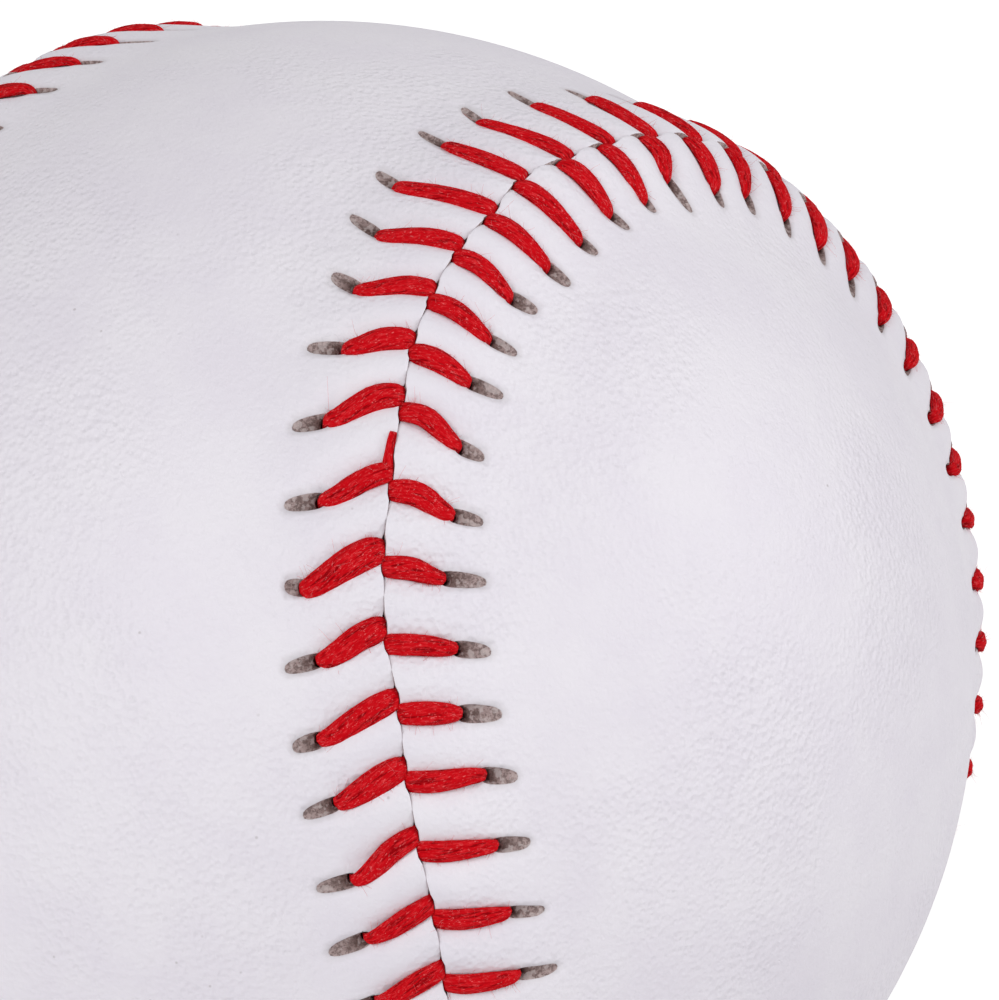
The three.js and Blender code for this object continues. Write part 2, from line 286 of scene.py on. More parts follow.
# %% Floor
def add_mesh(name, bm):
    """A new object from a bmesh, which ends here."""
    mesh = bpy.data.meshes.new(name)
    bm.to_mesh(mesh)
    bm.free()
    return add_object(name, mesh)


def lay_floor(height):
    bm = bmesh.new()
    bmesh.ops.create_circle(bm, cap_ends=True, segments=96, radius=2.0)
    bmesh.ops.translate(bm, verts=bm.verts, vec=(0.0, 0.0, height))
    floor = add_mesh("floor", bm)
    paper = Finish("white_paper", Roughness=0.9)
    grain = paper.noise(paper.place(), 400.0, detail=4.0)
    paper.set("Base Color", paper.mix(grain, srgb(240, 240, 240), srgb(244, 244, 244)))
    seen = paper.node("ShaderNodeLightPath", output="Is Camera Ray")
    paper.set("Emission Color", white)
    paper.set("Emission Strength", seen * 0.52)
    floor.data.materials.append(paper.material)


lay_floor(box_before[0].z)
print("floor at, mm:", round(box_before[0].z / mm, 2))


# %% Lamps
lamp_distance, lamp_size = 0.9, 0.5


def add_lamp(name, azimuth, elevation, watts):
    data = bpy.data.lights.new(name, "AREA")
    data.shape = "DISK"
    data.size = lamp_size
    data.energy = watts
    lamp = add_object(name, data)
    turn, rise = math.radians(azimuth), math.radians(elevation)
    level = math.cos(rise)
    away = Vector((math.sin(turn) * level, -math.cos(turn) * level, math.sin(rise)))
    lamp.location = away * lamp_distance
    lamp.rotation_euler = away.to_track_quat("Z", "Y").to_euler()
    return lamp


softboxes = [
    add_lamp("left_softbox", azimuth=11, elevation=33, watts=3.5),
    add_lamp("right_softbox", azimuth=122, elevation=22, watts=2.8),
]
print("lamps:", {lamp.name: round(lamp.data.energy, 2) for lamp in softboxes})

# %% [markdown]
# ## The seam's line
#
# Everything on this ball follows one closed curve. It is written as an angle of latitude and one
# of longitude that swing together, four lobes in all. A table of the distance along it then lets
# us walk it in even steps, and we count those steps in stitches: 0 to 108 is once round.

# %% The seam as a curve on a ball
def seam_direction(share):
    turn = share * 4 * np.pi
    latitude = 1.151 * np.cos(turn) - 0.042 * np.cos(3 * turn)
    longitude = turn / 2 + 0.331 * np.sin(2 * turn)
    level = np.cos(latitude)
    x, y = level * np.cos(longitude), level * np.sin(longitude)
    return np.stack([x, y, np.sin(latitude)], axis=-1)


def unit(vectors):
    return vectors / np.linalg.norm(vectors, axis=-1, keepdims=True)


def walked_along(points):
    """How far along a path each of its points lies."""
    steps = np.linalg.norm(np.diff(points, axis=0), axis=1)
    return np.concatenate([[0.0], np.cumsum(steps)])


even_shares = np.linspace(0.0, 1.0, 20001)
walked = walked_along(seam_direction(even_shares))
pitch = walked[-1] * leather_radius / stitch_count
walked /= walked[-1]
print("one stitch takes, mm:", round(pitch / mm, 3))


# %% What the photograph shows of some stitches
seen_stitches = np.array([
    # stitch; the seam, further along and to the right, in tenths of a millimetre; then in pairs,
    # left and right: further out, the slot's tip and the thread's end; further along, the
    # thread's end and the slot's tip
    (91, 0, 0, 0, 0, 0, 0, 0, 0, 0, 0),
    (94, 2, 3, -2, 8, -4, 4, -2, 1, 0, 1),
    (95, 1, 2, -1, 6, -4, 4, -2, 1, 0, -1),
    (96, 1, 0, -1, 4, -2, 3, -6, 1, -1, 2),
    (97, 0, -1, 0, 2, 0, 3, -2, 3, 0, 2),
    (98, -3, 0, 0, -1, 4, -6, -5, 0, -2, 0),
    (99, -5, -3, 0, -3, -1, -4, -4, -1, -2, -2),
    (100, -3, -2, -3, -3, 5, -7, -6, -2, -1, -1),
    (101, -1, 1, -3, -5, -3, -4, -5, -5, -2, -5),
    (102, 5, 2, -4, -6, -2, -4, -6, -6, -4, -6),
    (103, 0, 1, -4, -2, -5, -4, -5, -2, -1, 0),
    (104, -4, 2, -4, -1, -1, 0, -6, -5, 4, -3),
    (105, -7, 3, 2, -1, 2, 1, -6, -6, 5, -3),
    (106, -11, 7, 5, 7, 9, 8, -7, -4, 1, -3),
    (107, -13, 6, 7, 5, 6, 12, -2, -4, 3, -1),
    (108, -12, 10, 6, 3, 6, 9, -8, -3, 2, 2),
    (109, -11, 11, 6, 0, 3, 9, -4, -3, 4, -1),
    (110, -7, 9, 1, 3, 2, -3, 2, -6, 6, -1),
    (111, -1, 6, 3, -2, 1, 3, -1, 0, 3, 0),
    (112, 2, 1, 1, -4, 0, -1, 0, -4, 0, -2),
    (113, 2, 0, 0, 0, 0, -1, 0, 0, 0, 0),
    (117, 0, 0, 0, 0, 0, 0, 0, 0, 0, 0),
])


def seen(stitch, column):
    """One of the measures above at any stitch, in metres, and 0 where nothing was seen."""
    place = np.where(stitch < 54, stitch + stitch_count, stitch)
    return np.interp(place, seen_stitches[:, 0], seen_stitches[:, column] / 10) * mm


# %% A spot beside the seam
def bell(value, width):
    """1 where the value is 0, falling off smoothly on both sides."""
    return np.exp(-((value / width) ** 2))


def spot(stitch, offset):
    """The direction from the ball's centre at a stitch, and an offset to the right of the seam,
    with its two level directions: along the seam, and across it to the right."""
    further = seen(stitch, 1) * bell(offset, 5.0 * mm)
    walk = np.mod(stitch + further / pitch, stitch_count)
    share = np.interp(walk / stitch_count, walked, even_shares)
    on_seam = seam_direction(share)
    along = unit(seam_direction(share + 1e-5) - seam_direction(share - 1e-5))
    right = unit(np.cross(along, on_seam))
    angle = (offset / leather_radius)[..., None]
    up = on_seam * np.cos(angle) + right * np.sin(angle)
    across = right * np.cos(angle) - on_seam * np.sin(angle)
    return up, along, across


def step_between(low, high, value):
    share = np.clip((value - low) / (high - low), 0.0, 1.0)
    return share * share * (3 - 2 * share)


# %% [markdown]
# ## No two stitches are alike
#
# A ball is sewn by hand. The holes are punched a little off their marks, one stitch is drawn
# tighter than the next, and the seam wanders. Those differences are drawn once, from a fixed
# seed, so the leather and the thread use the same ones, and the table above is added to them.
#
# In the photograph the holes lie behind the point where their thread dives into the seam, by
# nearly half a stitch on the straight stretches and by much less round a lobe.

# %% How each stitch differs
def draw_stitches(side):
    draw = np.random.default_rng(41 + side)
    numbers = np.arange(stitch_count)
    is_seen = (numbers >= 94) | (numbers <= 4)

    def around_one(width, low, high):
        return np.clip(draw.normal(1.0, width, stitch_count), low, high)

    def strays(width_seen, width, left_column):
        width = np.where(is_seen, width_seen, width)
        column = left_column + (side == RIGHT)
        return draw.normal(0.0, width, stitch_count) * mm + seen(numbers, column)

    return {
        "fatness": around_one(0.07, 0.86, 1.16),
        "height": around_one(0.06, 0.88, 1.12),
        "thread_along": strays(0.03, 0.12, 7),
        "tip_along": strays(0.03, 0.12, 9),
        "tip_out": strays(0.04, 0.15, 3),
        "thread_out": strays(0.04, 0.22, 5),
        "hole_width": around_one(0.08, 0.85, 1.2),
    }


stitches = {LEFT: draw_stitches(LEFT), RIGHT: draw_stitches(RIGHT)}
# The two plumpest stitches in the photograph
stitches[LEFT]["fatness"][100] = 1.32
stitches[LEFT]["height"][100] = 1.2
stitches[LEFT]["fatness"][102] = 1.14
seam_wander = np.clip(np.random.default_rng(5).normal(0.0, 0.05, stitch_count), -0.1, 0.1) * mm
seam_wander += seen(np.arange(stitch_count), 2)


def wander(stitch):
    """How far the seam strays to the right of its line."""
    before = np.floor(stitch).astype(int)
    share = step_between(0.0, 1.0, stitch - before)
    first, second = seam_wander[before % stitch_count], seam_wander[(before + 1) % stitch_count]
    return first + (second - first) * share


# %% How far a hole lies behind its stitch
lobe_lag, straight_lag = 0.17, 0.46
stitches_per_lobe = stitch_count / 4


def in_lobe(stitch):
    """1 in the middle of a lobe, and 0 in the middle of a straight stretch."""
    return (1 + np.cos(2 * np.pi * stitch / stitches_per_lobe)) / 2


def hole_lag(stitch):
    return straight_lag + (lobe_lag - straight_lag) * in_lobe(stitch)


def lean(side, column, distance):
    """A column of the leather follows its thread: how many stitches it lies off its number."""
    share = np.minimum(distance / slot_tip, 1.0)
    dive = dive_lead if side == LEFT else -dive_lead
    return dive * (1 - share) - hole_lag(column) * share


print("lag on a straight stretch and round a lobe:", hole_lag(94.5), hole_lag(108.0))

# %% [markdown]
# ## The leather panels
#
# Each panel is a sheet of cowhide, 1.25 mm thick. The threads beneath lift it by about a
# millimetre, and that raised band is what a pitcher's fingers feel. Between two stitches the
# leather puffs up, under a stitch it is pressed down, and at the end of each stitch there is a
# slot, drawn open by the thread that comes up through it.
#
# Carved out of a sphere, no edge would follow the seam. So the panel is grown from its own edge:
# one ring of vertices along the seam is extruded, row by row, towards the middle of the panel.
# The rows are sheared, so that each slot lies squarely on a few columns and opens by deleting the
# vertices inside it.

# %% Rows and columns of the sheet
columns_per_stitch = 10
column_count = columns_per_stitch * stitch_count
row_distances = np.array(
    [0.0, 0.04, 0.1, 0.2, 0.38, 0.66, 1.02, 1.45, 1.95, 2.45, 2.95, 3.35]
    + [3.6, 3.9, 4.25, 4.65, 5.1, 5.5, 5.85, 6.3, 6.85, 7.4, 8.0]
) * mm
first_slot_row = int(np.argmin(np.abs(row_distances - slot_near)))
last_slot_row = int(np.argmin(np.abs(row_distances - slot_tip)))
middle_rows = 12
slot_middle = (slot_near + slot_tip) / 2
slot_half_length = (slot_tip - slot_near) / 2
slot_half_width = 0.43 * mm
slot_squareness = 2.7
slot_columns = 2
column_width = pitch / columns_per_stitch
print("rows from the seam to the foot of the band:", len(row_distances))


# %% The height of the leather
def band_height(distance):
    share = np.minimum(distance / band_foot, 1.0)
    return seam_rise * np.cos(share * np.pi / 2) ** 2


slot_dimple = 0.06 * mm
thread_groove = 0.24 * mm
puff = 0.42 * mm
turned_edge = 0.03 * mm
pulled_edge = 0.2 * mm


def leather_height(nominal, distance, beside, slot_radius):
    """How far the leather stands above the plain ball. beside is the distance to the middle of
    the nearest thread, and slot_radius is 1 on the rim of a slot and more further away."""
    height = band_height(distance)
    height += puff * np.sin(np.pi * beside / pitch) ** 2 * bell(distance, 3.4 * mm)
    under_thread = step_between(0.1 * mm, 0.5 * mm, distance)
    under_thread *= 1 - step_between(3.2 * mm, 4.0 * mm, distance)
    height -= thread_groove * bell(beside, 0.55 * mm) * under_thread
    height -= slot_dimple * bell(np.maximum(slot_radius - 1, 0.0), 0.55)
    turned_in = np.clip(1 - nominal / (0.16 * mm), 0.0, 1.0)
    height -= turned_edge * turned_in**2
    pulled = bell(beside, 0.45 * mm) * bell(distance, 0.4 * mm)
    return height - pulled_edge * pulled


def half_gap(stitch):
    """Half of the gap between the panels: open where threads dive in, and shut between, but for
    the lobes, where the leather is stretched most."""
    at_dive = 1 - step_between(0.2, 0.3, np.abs(stitch - np.rint(stitch)))
    return (0.001 + 0.008 * in_lobe(stitch) ** 2 + 0.12 * at_dive) * mm


# %% The outline of a slot
def slot_reach_of(x, y):
    """1 on a slot's outline: an oval whose long sides are nearly straight."""
    return (np.abs(x) ** slot_squareness + np.abs(y) ** slot_squareness) ** (1 / slot_squareness)


def slot_taper(y):
    """A slot is widest at the thread, where y is -1, and narrowest at its tip, where it is 1."""
    return 1 - 0.15 * np.clip(y, -1.0, 1.0)


# %% A place on the leather
def spot_on_leather(side, column, distance):
    """The same as spot, at a column and a distance from the seam, with the stitch it lies at."""
    stitch = column + lean(side, column, distance)
    strayed = wander(stitch) * bell(distance, 3.0 * mm)
    return stitch, *spot(stitch, side * distance + strayed)


def on_leather(side, column, distance, height):
    """Points there, raised by height over the plain ball."""
    up = spot_on_leather(side, column, distance)[1]
    return up * (leather_radius + height)[..., None]


# %% How wide a slot is, and how far it strays
def slot_width(side, k):
    """Half of a slot's width along the seam. Inside a lobe the columns draw together, so it takes
    more of them."""
    numbers, middle = np.arange(stitch_count), np.full(stitch_count, slot_middle)
    before = on_leather(side, numbers - 0.1, middle, 0 * middle)
    after = on_leather(side, numbers + 0.1, middle, 0 * middle)
    spread = np.linalg.norm(after - before, axis=1) / (0.2 * pitch)
    return slot_half_width * stitches[side]["hole_width"][k] / np.clip(spread[k], 0.7, 1.3)


def slot_along(side, k, share):
    """How far a slot strays along the seam, from its end at the thread, 0, to its tip, 1."""
    near, far = stitches[side]["thread_along"][k], stitches[side]["tip_along"][k]
    return near + (far - near) * np.clip(share, -0.3, 1.3)


# %% Where every corner of the sheet goes
def round_the_slots(side, column, distance):
    """Moves columns and rows near a slot, so that its rim is an oval and not a box."""
    table = stitches[side]
    number = np.rint(column).astype(int)
    k = number % stitch_count
    beside = (column - number) * pitch
    x, y = beside / (slot_columns * column_width), (distance - slot_middle) / slot_half_length
    box = np.maximum(np.abs(x), np.abs(y))
    bend = box / np.maximum(slot_reach_of(x, y), 1e-9)
    width = slot_width(side, k)
    middle = slot_middle + (table["tip_out"][k] + table["thread_out"][k]) / 2
    length = slot_half_length + (table["tip_out"][k] - table["thread_out"][k]) / 2
    oval_beside = x * bend * width * slot_taper(y * bend) + slot_along(side, k, (1 + y * bend) / 2)
    oval_distance = middle + y * bend * length
    away = step_between(1.0, 2.4, box)
    beside = oval_beside + (beside - oval_beside) * away
    moved = oval_distance + (distance - oval_distance) * away
    slot_y = (moved - middle) / length
    slot_x = (beside - slot_along(side, k, (1 + slot_y) / 2)) / (width * slot_taper(slot_y))
    return number, beside, moved, slot_reach_of(slot_x, slot_y)


def sheet_places(side):
    """The corners of the band's outer and inner faces, row by row."""
    column = np.tile(np.arange(column_count) / columns_per_stitch, (len(row_distances), 1))
    nominal = np.tile(row_distances[:, None], (1, column_count))
    number, beside, distance, slot_radius = round_the_slots(side, column, nominal)
    column = number + beside / pitch
    gap = half_gap(column + lean(side, column, nominal)) * np.exp(-nominal / (0.4 * mm))
    distance = distance + gap
    height = leather_height(nominal, distance, beside, slot_radius)
    outer = on_leather(side, column, distance, height)
    inner = on_leather(side, column, distance, band_height(distance) - leather_thickness)
    # Grime and painted shade: the leather darkens right round each slot's rim.
    grime_and_shade = 0.25 * np.exp(-np.maximum(slot_radius - 1, 0.0) / 0.08)
    return outer, inner, grime_and_shade


# %% [markdown]
# A slot isn't a clean round hole. The thread drags the leather in with it, so the far end is a
# shallow ramp of raw, grey hide, and the near end is steep. Five more rings, each a smaller oval
# that lies deeper and nearer to the thread, make that scoop. Each deeper ring is coloured darker,
# for grime and for painted shade.

# %% The rings that line a slot
slot_loop = (
    [(first_slot_row, c) for c in range(-slot_columns, slot_columns + 1)]
    + [(row, slot_columns) for row in range(first_slot_row + 1, last_slot_row + 1)]
    + [(last_slot_row, c) for c in range(slot_columns - 1, -slot_columns - 1, -1)]
    + [(row, -slot_columns) for row in range(last_slot_row - 1, first_slot_row, -1)]
)
shaft_far = 0.45 * mm
slot_ring_shapes = [
    # depth, share of the width, share of the way to the tip, mm in from the near end, grime and
    # painted shade
    (0.05, 0.95, 0.97, 0.02, 0.45),
    (0.14, 0.88, 0.76, 0.04, 0.56),
    (0.22, 0.84, 0.45, 0.06, 0.70),
    (0.30, 0.80, 0.14, 0.08, 0.85),
    (1.25, 0.76, 0.00, 0.09, 1.00),
]


def slot_ring(side, depth, width_share, reach, inset):
    """One ring in each slot of a panel: its corners, as stitches by corners by three."""
    deepest = slot_ring_shapes[-1][0]
    k = np.arange(stitch_count)[:, None]
    rows, across = np.array(slot_loop).T
    x = across / slot_columns
    y = (row_distances[rows] - slot_middle) / slot_half_length
    bend = 1 / np.maximum(slot_reach_of(x, y), 1e-9)
    near_end = slot_near + stitches[side]["thread_out"][k]
    tip_end = slot_tip + stitches[side]["tip_out"][k]
    near, bottom = near_end + inset * mm, near_end + shaft_far
    far = bottom + (tip_end - bottom) * reach
    distance = (far + near) / 2 + y * bend * (far - near) / 2
    along = slot_along(side, k, (distance - near_end) / (tip_end - near_end))
    beside = along + x * bend * slot_width(side, k) * slot_taper(y * bend) * width_share
    if depth == deepest:
        height = band_height(distance) - leather_thickness
    else:
        height = band_height(distance) - slot_dimple * (1 - depth / deepest) - depth * mm
    return on_leather(side, k + beside / pitch, distance, height)


# %% Rows over the middle of a panel
def middle_places(side, foot):
    """Rows from the foot of the band to the panel's spine, an arc down its length. Columns from
    both sides of the waist end at the same points of it, and those round a lobe at one point."""
    lengthwise = np.array([0.0, 1.0, 0.0]) if side == LEFT else np.array([1.0, 0.0, 0.0])
    waist = np.array([0.0, 0.0, -float(side)])
    angle_of = lambda direction: np.arctan2(direction @ lengthwise, direction @ waist)
    tip = angle_of(seam_direction(np.array(0.25 if side == LEFT else 0.0)))
    lobe_middle = tip - np.pi / 4
    on_seam = seam_direction(np.interp(np.arange(column_count) / column_count, walked, even_shares))
    angle = np.clip(angle_of(on_seam), -lobe_middle, lobe_middle)[:, None]
    target = waist * np.cos(angle) + lengthwise * np.sin(angle)
    shares = np.arange(1, middle_rows + 1)[:, None, None] / middle_rows
    return unit(unit(foot) + (target - unit(foot)) * shares)


# %% Extruding rings of vertices
def put(rings, places):
    for ring, corners in zip(rings, places):
        for vert, corner in zip(ring, corners):
            vert.co = corner


def start_rings(bm, places):
    """New closed rings of vertices in their places."""
    rings = [bmesh.ops.create_circle(bm, segments=len(ring), radius=mm)["verts"] for ring in places]
    put(rings, places)
    return rings


def extrude_rings(bm, rings, places, finish=0):
    """Extrudes rings by one row, puts the new vertices in place and returns their rings."""
    edges = [bm.edges.get((ring[i - 1], ring[i])) for ring in rings for i in range(len(ring))]
    made = bmesh.ops.extrude_edge_only(bm, edges=edges)["geom"]
    fresh = {item for item in made if isinstance(item, bmesh.types.BMVert)}
    for item in made:
        if isinstance(item, bmesh.types.BMFace):
            item.material_index = finish
    grown = [
        [next(e.other_vert(v) for e in v.link_edges if e.other_vert(v) in fresh) for v in ring]
        for ring in rings
    ]
    put(grown, places)
    return grown


# %% From a bmesh to a finished piece
def closed_piece(name, bm, merge=0.5e-6):
    """Merges doubles, closes open ends, turns the faces outwards and makes the object."""
    bmesh.ops.remove_doubles(bm, verts=bm.verts, dist=merge)
    ends = [edge for edge in bm.edges if edge.is_boundary]
    bmesh.ops.holes_fill(bm, edges=ends, sides=0)
    bmesh.ops.recalc_face_normals(bm, faces=bm.faces)
    open_edges = sum(not edge.is_manifold for edge in bm.edges)
    piece = add_mesh(name, bm)
    faces = piece.data.polygons
    faces.foreach_set("use_smooth", [True] * len(faces))
    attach(piece, "root")
    print(name, "faces:", len(faces), "open edges:", open_edges)
    return piece


# %% One face of a panel, from the seam to its spine
def grow_sheet(bm, side, places, radius, finish=0):
    """Extrudes the rows and opens the slots. Returns the band's rows and each slot's ring."""
    rows = start_rings(bm, places[:1])
    for corners in places[1:]:
        rows += extrude_rings(bm, rows[-1:], [corners], finish)
    row = rows[-1:]
    for corners in middle_places(side, places[-1]):
        row = extrude_rings(bm, row, [corners * radius], finish)

    def corner(k, r, c):
        return rows[r][(k * columns_per_stitch + c) % column_count]

    slot_rings = [[corner(k, r, c) for r, c in slot_loop] for k in range(stitch_count)]
    inside = [
        corner(k, r, c)
        for k in range(stitch_count)
        for r in range(first_slot_row + 1, last_slot_row)
        for c in range(1 - slot_columns, slot_columns)
    ]
    bmesh.ops.delete(bm, geom=inside, context="VERTS")
    return rows, slot_rings


# %% A whole panel
def grow_panel(name, side):
    outer, inner, grime_and_shade = sheet_places(side)
    bm = bmesh.new()
    rim_grime_and_shade = bm.verts.layers.float.new("grime_and_shade")
    outer_rows, slot_rings = grow_sheet(bm, side, outer, leather_radius)
    for r in range(first_slot_row - 2, last_slot_row + 4):
        for vert, amount in zip(outer_rows[r], grime_and_shade[r]):
            if vert.is_valid:
                vert[rim_grime_and_shade] = amount
    # Each ring of a slot carries more grime and painted shade than the one above it.
    for number, (*shape, amount) in enumerate(slot_ring_shapes):
        places = slot_ring(side, *shape)
        slot_rings = extrude_rings(bm, slot_rings, places, finish=min(number, 1))
        for ring in slot_rings:
            for vert in ring:
                vert[rim_grime_and_shade] = amount
    extrude_rings(bm, [outer_rows[0]], [inner[0]], finish=1)

    # The underside merges with the slots' deepest rings and with the seam's edge
    _, holes = grow_sheet(bm, side, inner, leather_inside, finish=1)
    put(holes, places)
    return closed_piece(name, bm)


# %% Grow the two panels
panels = [grow_panel("leather_panel_upper", LEFT), grow_panel("leather_panel_lower", RIGHT)]
for panel, node in zip(panels, ("cover_panel_upper", "cover_panel_lower")):
    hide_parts(node)

# %% [markdown]
# ## White leather
#
# The cover is alum-tanned cowhide: a cool white with a faint sheen, tiny dark specks in its
# pores, and a grain of flat pebbles that is stronger in some places. The grain is a third of a
# millimetre across, only a few pixels here, so a bump is enough. Where the hide is cut or dragged
# into a slot, its raw grey-brown fibres show. Round each slot's rim and down into it the colour
# is darkened: some grime, and painted shade that grows with depth.

# %% Leather finish
def white_leather():
    leather = Finish("white_leather", Roughness=0.5)
    point = leather.place()
    patches = leather.noise(point, 70.0, detail=3.0)
    sockets = {"Vector": point, "Scale": 2900.0, "Smoothness": 0.6}
    pebbles = leather.node("ShaderNodeTexVoronoi", {"feature": "SMOOTH_F1"}, sockets)
    wrinkles = leather.noise(point, 1900.0, detail=4.0, roughness=0.6, distortion=0.8)
    pores = leather.noise(point, 5200.0)
    grain = pebbles * (0.25 + patches.rises(0.42, 0.62)) + wrinkles * 0.6 + pores * 0.3
    leather.bump(grain, 0.08 * mm)

    grime_and_shade = leather.grime_and_shade()
    tone = leather.noise(point, 160.0, detail=5.0, roughness=0.6)
    colour = leather.mix(tone.rises(0.3, 0.7), srgb(226, 221, 230), srgb(231, 227, 234))
    chance = leather.noise(point, 210.0, detail=1.0)
    specks = (1 - leather.cells(point, 520.0).rises(0.02, 0.06)) * chance.rises(0.52, 0.6)
    colour = leather.mix(specks * 0.4, colour, srgb(140, 130, 126))
    # Grime and painted shade round the slots darken the white, unevenly.
    grime_and_shade_share = grime_and_shade * (0.6 + leather.noise(point, 2600.0, detail=3.0) * 0.8)
    colour = leather.mix(grime_and_shade_share, colour, srgb(172, 165, 163))
    leather.set("Base Color", colour)
    leather.set("Roughness", 0.42 + tone * 0.2 + grime_and_shade * 0.2)
    return leather.material


def raw_hide():
    hide = Finish("raw_hide", Roughness=0.95, Specular_IOR_Level=0.1)
    point = hide.place()
    fibres = hide.noise(point, 5000.0, detail=4.0, roughness=0.7)
    clumps = hide.noise(point, 2400.0, detail=3.0)
    # Grime and painted shade: the hide darkens the deeper it lies in a slot.
    colour = hide.mix(hide.grime_and_shade().rises(0.48, 0.92), srgb(180, 160, 158), srgb(112, 90, 86))
    colour = hide.mix(fibres.rises(0.42, 0.58) * 0.6, colour, srgb(76, 58, 54))
    hide.set("Base Color", hide.mix(clumps.rises(0.5, 0.6) * 0.5, colour, srgb(208, 195, 194)))
    hide.bump(fibres + clumps, 0.1 * mm)
    return hide.material


leather_finishes = [white_leather(), raw_hide()]
for panel in panels:
    for material in leather_finishes:
        panel.data.materials.append(material)

# %% [markdown]
# ## The red thread
#
# Two threads sew the ball, each with its own needle. A thread comes up through a slot, lies over
# the leather like a plump leaf, dives into the seam, and runs on beneath the other panel to that
# panel's next slot. It is a bundle of waxed cotton plies, wide on top and thin where it turns.
#
# A curve with a bevel would give a tube of one width. A ring of vertices that is extruded along
# the route can change its width, thickness and tilt at every step, and the plies are ridges on it
# that wind slowly round.

# %% The route of one thread over the leather
over_the_leather = mm * np.array([
    # distance from the seam, height over the leather, width, thickness, bow
    (3.66, -0.70, 0.54, 0.32, 0.00),
    (3.64, -0.30, 0.60, 0.36, 0.00),
    (3.57, -0.10, 0.70, 0.42, 0.01),
    (3.32, 0.02, 0.84, 0.52, 0.05),
    (2.90, 0.04, 0.99, 0.62, 0.13),
    (2.25, 0.06, 1.13, 0.72, 0.20),
    (1.50, 0.07, 1.20, 0.76, 0.20),
    (0.85, 0.07, 1.20, 0.74, 0.13),
    (0.36, 0.04, 1.14, 0.66, 0.05),
    (0.10, -0.06, 1.06, 0.48, 0.01),
    (0.00, -0.50, 0.88, 0.28, 0.00),
])
pulled_width, pulled_thickness = 0.66 * mm, 0.34 * mm
thread_sides = 30
smooth_steps = 2
rows_per_arm = (len(over_the_leather) + 4) * smooth_steps
dip = yarn_radius * (1 - math.cos(5.7 * mm / (2 * yarn_radius)))
under_radius = yarn_radius + dip + 0.13 * mm + pulled_thickness / 2


def bow_of(side, k):
    """Stitches inside a lobe bow forwards. All the others bow back, but hardly so."""
    inwards = side * math.cos(2 * math.pi * k / (2 * stitches_per_lobe))
    return 1.3 * max(inwards, 0.0) - 0.3


def between(first, column, last):
    """A column of the table above, with a value before it and one after it."""
    return np.concatenate([[first], over_the_leather[:, column], [last]])


# %% One arm of a stitch, from its slot to the next one
def arm_stations(k, side):
    """Points, widths, thicknesses and width directions from a slot to the next slot."""
    table = stitches[side]
    distance = between(shaft, 0, 0.0)
    out = step_between(0.9 * mm, 3.4 * mm, distance)
    bow = between(0.0, 4, 0.0) * bow_of(side, k)
    column = k + (table["thread_along"][k] * out + bow) / pitch
    distance = distance + table["thread_out"][k] * out
    stitch, up, along, across = spot_on_leather(side, column, distance)
    heights = over_the_leather[:, 1] * np.where(over_the_leather[:, 1] > 0, table["height"][k], 1)
    radius = np.concatenate(
        [[under_radius], leather_radius + band_height(distance[1:-1]) + heights, [under_radius]]
    )
    swell = 1 + (table["fatness"][k] - 1) * step_between(0.0, 0.4 * mm, distance)
    width = between(pulled_width, 2, pulled_width) * swell
    thickness = between(pulled_thickness, 3, pulled_thickness)
    thickness = thickness * np.where(thickness > 0.5 * mm, table["height"][k], 1)
    slope = math.atan((dive_lead + hole_lag(k)) / slot_tip * pitch) * side
    tilt = slope * step_between(0.1 * mm, 1.0 * mm, distance)[:, None]
    wide = along * np.cos(tilt) + across * np.sin(tilt)

    # Under the other panel, to its next slot
    following, other = (k + 1) % stitch_count, stitches[-side]
    landing_distance = shaft + other["thread_out"][following]
    landing_column = k + 1 + other["thread_along"][following] / pitch
    landing = landing_column + lean(-side, landing_column, landing_distance)
    shares = np.array([1 / 3, 2 / 3])
    run_stitch = stitch[-1] + (landing - stitch[-1]) * shares
    run_offset = -side * landing_distance * shares
    run_up, run_along, run_across = spot(run_stitch, run_offset)
    run_angle = math.atan2((landing - stitch[-1]) * pitch, landing_distance)
    run_wide = run_along * math.cos(run_angle) + run_across * math.sin(run_angle) * side
    return (
        np.concatenate([up * radius[:, None], run_up * under_radius]),
        np.concatenate([width, [pulled_width] * 2]),
        np.concatenate([thickness, [pulled_thickness] * 2]),
        np.concatenate([wide, run_wide]),
    )


# %% A smooth path through the stations
def smoothed(values):
    """Catmull-Rom steps between the stations of a whole thread."""
    padded = np.concatenate([2 * values[:1] - values[1:2], values, 2 * values[-1:] - values[-2:-1]])
    a, b, c, d = padded[:-3], padded[1:-2], padded[2:-1], padded[3:]
    made = []
    for step in range(smooth_steps):
        t = step / smooth_steps
        made.append(
            b
            + 0.5 * t * (c - a)
            + t * t * (a - 2.5 * b + 2 * c - 0.5 * d)
            + t**3 * (-0.5 * a + 1.5 * b - 1.5 * c + 0.5 * d)
        )
    made = np.stack(made, axis=1).reshape(-1, *values.shape[1:])
    return np.concatenate([made, values[-1:]])


def route_of(points, widths, thicknesses, wide):
    """A smoothed route, with its directions across and out, and the length walked along it."""
    ahead = unit(np.gradient(points, axis=0))
    wide = unit(wide - ahead * np.sum(wide * ahead, axis=1, keepdims=True))
    return points, widths, thicknesses, wide, np.cross(ahead, wide), walked_along(points)


def thread_route(first_side):
    arms = [arm_stations(k, first_side * (-1) ** k) for k in range(stitch_count)]
    return route_of(*(smoothed(np.concatenate(part)) for part in zip(*arms)))


# %% The thread's skin: plies that wind round
ply_count = 6
ply_twist = 0.2 / mm
flat_underneath = 0.45


